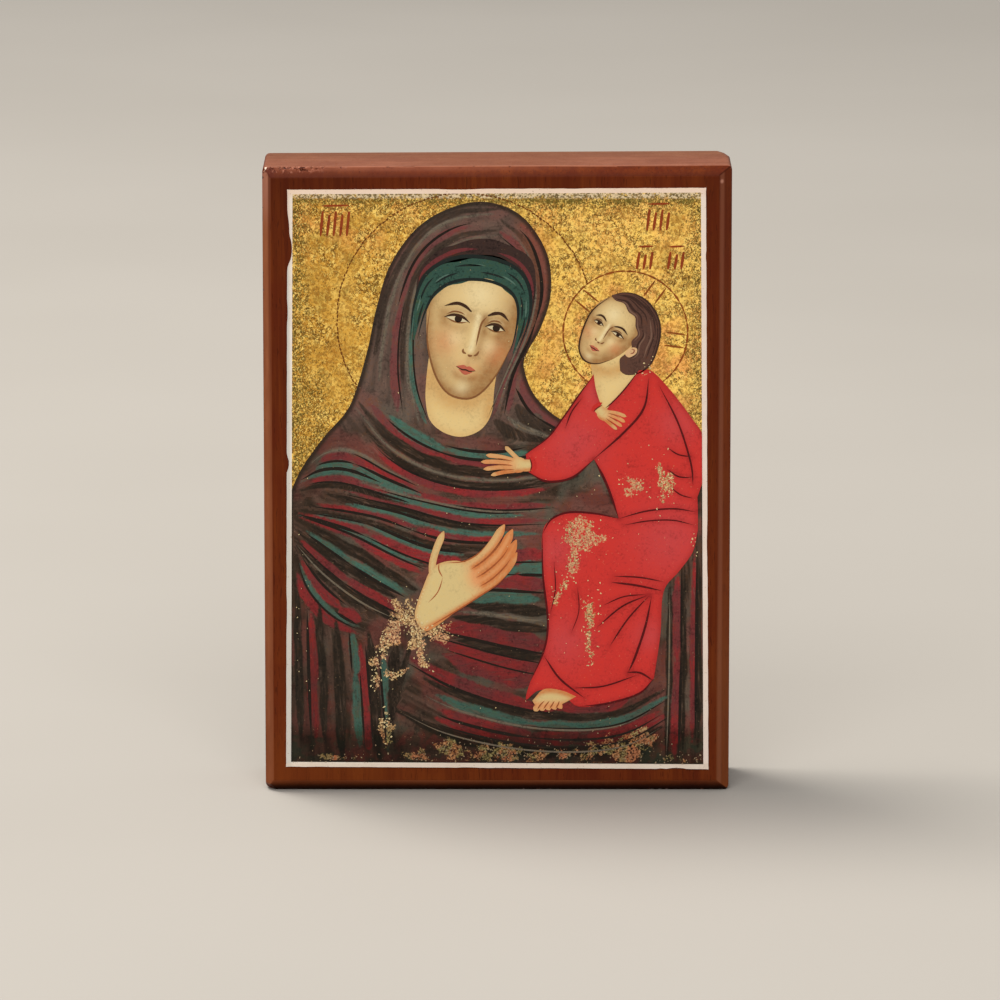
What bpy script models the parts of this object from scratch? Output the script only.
# Small icon panel: a stained hardwood block with a chamfered front, and a paper print glued on its face.
#
# Metres, +Z up. The picture faces -Y. The origin is the middle of the block's footprint, on the surface
# that it stands on.

import bpy
import bmesh
from mathutils import Vector

# The block. Its top is cut a little out of square and rises to the right.
WIDTH = 0.0753
HEIGHT_AT_LEFT = 0.10227
HEIGHT_AT_RIGHT = 0.10264
BLOCK_DEPTH = 0.018

# The front chamfer is planed by hand, so each side has its own width on the face. All four share one depth.
CHAMFER_DEPTH = 0.0016
CHAMFER_LEFT = 0.00139
CHAMFER_RIGHT = 0.00209
CHAMFER_TOP = 0.0015
CHAMFER_BOTTOM = 0.0019

# The other edges are only eased.
BACK_EDGE_RADIUS = 0.0011
CORNER_EDGE_RADIUS = 0.0008
EASING_SEGMENTS = 3

# The lower left front corner is worn away: how far the wear reaches along each edge that meets there.
WORN_ALONG_WIDTH = 0.0017
WORN_ALONG_DEPTH = 0.0022
WORN_ALONG_HEIGHT = 0.0012

# The print is trimmed by hand, a little wider at its foot than at its top.
PAPER_THICKNESS = 0.0002
GLUE_GAP = 0.0003
PRINT_LEFT_AT_TOP = -0.03362
PRINT_RIGHT_AT_TOP = 0.03347
PRINT_LEFT_AT_FOOT = -0.03431
PRINT_RIGHT_AT_FOOT = 0.03435
PRINT_TOP_AT_LEFT = 0.09891
PRINT_TOP_AT_RIGHT = 0.09922
PRINT_FOOT_AT_LEFT = 0.00416
PRINT_FOOT_AT_RIGHT = 0.00373

# Planes along the depth: the paper's front, the block's face and the block's back.
TOTAL_DEPTH = BLOCK_DEPTH + GLUE_GAP + PAPER_THICKNESS
PAPER_FRONT = -TOTAL_DEPTH / 2
PAPER_BACK = PAPER_FRONT + PAPER_THICKNESS
BLOCK_FACE = PAPER_BACK + GLUE_GAP
BLOCK_BACK = TOTAL_DEPTH / 2

STAINED_WOOD = ((0.165, 0.042, 0.018, 1.0), 0.42)
PRINTED_PAPER = ((0.36, 0.19, 0.09, 1.0), 0.55)

TINY = 1e-6


def clear_scene():
    for item in list(bpy.data.objects):
        bpy.data.objects.remove(item, do_unlink=True)


def make_material(name, look):
    colour, roughness = look
    material = bpy.data.materials.new(name)
    material.use_nodes = True
    shader = material.node_tree.nodes["Principled BSDF"]
    shader.inputs["Base Color"].default_value = colour
    shader.inputs["Roughness"].default_value = roughness
    shader.inputs["Metallic"].default_value = 0.0
    material.diffuse_color = colour
    return material


def add_piece(name, bm, material):
    bmesh.ops.recalc_face_normals(bm, faces=bm.faces)
    mesh = bpy.data.meshes.new(name)
    bm.to_mesh(mesh)
    bm.free()
    mesh.materials.append(material)
    piece = bpy.data.objects.new(name, mesh)
    bpy.context.collection.objects.link(piece)
    return piece


def box_between(low, high):
    """A bmesh box between two opposite corners."""
    bm = bmesh.new()
    bmesh.ops.create_cube(bm, size=1.0)
    size = Vector(high) - Vector(low)
    bmesh.ops.scale(bm, vec=size, verts=bm.verts)
    bmesh.ops.translate(bm, vec=(Vector(low) + Vector(high)) / 2, verts=bm.verts)
    return bm


def raise_chamfered_face(bm):
    """Extrudes the front face by the chamfer's depth and draws each of its sides in by its own width."""
    front = min(bm.faces, key=lambda face: face.calc_center_median().y)
    raised = bmesh.ops.extrude_face_region(bm, geom=[front])
    bmesh.ops.delete(bm, geom=[front], context="FACES_ONLY")
    corners = [item for item in raised["geom"] if isinstance(item, bmesh.types.BMVert)]
    for corner in corners:
        corner.co.y -= CHAMFER_DEPTH
        corner.co.x += CHAMFER_LEFT if corner.co.x < 0 else -CHAMFER_RIGHT
        corner.co.z += CHAMFER_BOTTOM if corner.co.z < HEIGHT_AT_LEFT / 2 else -CHAMFER_TOP


def tilt_top(bm):
    """Lifts the top in proportion to the distance from the left side."""
    for corner in bm.verts:
        if corner.co.z > HEIGHT_AT_LEFT / 2:
            corner.co.z += (HEIGHT_AT_RIGHT - HEIGHT_AT_LEFT) * (corner.co.x / WIDTH + 0.5)


def bevel_edges(bm, edges, radius):
    bmesh.ops.bevel(bm, geom=edges, offset=radius, offset_type="OFFSET", segments=EASING_SEGMENTS,
                    profile=0.5, affect="EDGES", clamp_overlap=True, material=-1)


def ease_back_edges(bm):
    back = [edge for edge in bm.edges if all(vert.co.y > BLOCK_BACK - TINY for vert in edge.verts)]
    bevel_edges(bm, back, BACK_EDGE_RADIUS)


def ease_corner_edges(bm):
    """Eases the four edges that run from front to back."""
    shortest = BLOCK_DEPTH / 2
    corners = []
    for edge in bm.edges:
        along = edge.verts[1].co - edge.verts[0].co
        if abs(along.y) > shortest and abs(along.y) > 0.99 * along.length:
            corners.append(edge)
    bevel_edges(bm, corners, CORNER_EDGE_RADIUS)


def wear_lower_left_corner(bm):
    """Cuts the corner off along the plane through the ends of the wear on its three edges."""
    corner = Vector((-WIDTH / 2, BLOCK_FACE + CHAMFER_DEPTH, 0.0))
    normal = Vector((-1 / WORN_ALONG_WIDTH, -1 / WORN_ALONG_DEPTH, -1 / WORN_ALONG_HEIGHT))
    point = corner + Vector((WORN_ALONG_WIDTH, 0.0, 0.0))
    everything = list(bm.verts) + list(bm.edges) + list(bm.faces)
    cut = bmesh.ops.bisect_plane(bm, geom=everything, dist=TINY, plane_co=point,
                                 plane_no=normal.normalized(), clear_outer=True)
    rim = [item for item in cut["geom_cut"] if isinstance(item, bmesh.types.BMEdge)]
    bmesh.ops.contextual_create(bm, geom=rim)


def make_wood_block():
    low = (-WIDTH / 2, BLOCK_FACE + CHAMFER_DEPTH, 0.0)
    high = (WIDTH / 2, BLOCK_BACK, HEIGHT_AT_LEFT)
    bm = box_between(low, high)
    raise_chamfered_face(bm)
    tilt_top(bm)
    ease_corner_edges(bm)
    ease_back_edges(bm)
    wear_lower_left_corner(bm)
    return add_piece("wood_block", bm, make_material("stained_wood", STAINED_WOOD))


def make_paper_print():
    bm = box_between((-1.0, PAPER_FRONT, 0.0), (1.0, PAPER_BACK, HEIGHT_AT_LEFT))
    for corner in bm.verts:
        left = corner.co.x < 0
        if corner.co.z > HEIGHT_AT_LEFT / 2:
            corner.co.x = PRINT_LEFT_AT_TOP if left else PRINT_RIGHT_AT_TOP
            corner.co.z = PRINT_TOP_AT_LEFT if left else PRINT_TOP_AT_RIGHT
        else:
            corner.co.x = PRINT_LEFT_AT_FOOT if left else PRINT_RIGHT_AT_FOOT
            corner.co.z = PRINT_FOOT_AT_LEFT if left else PRINT_FOOT_AT_RIGHT
    return add_piece("paper_print", bm, make_material("printed_paper", PRINTED_PAPER))


clear_scene()
make_wood_block()
make_paper_print()
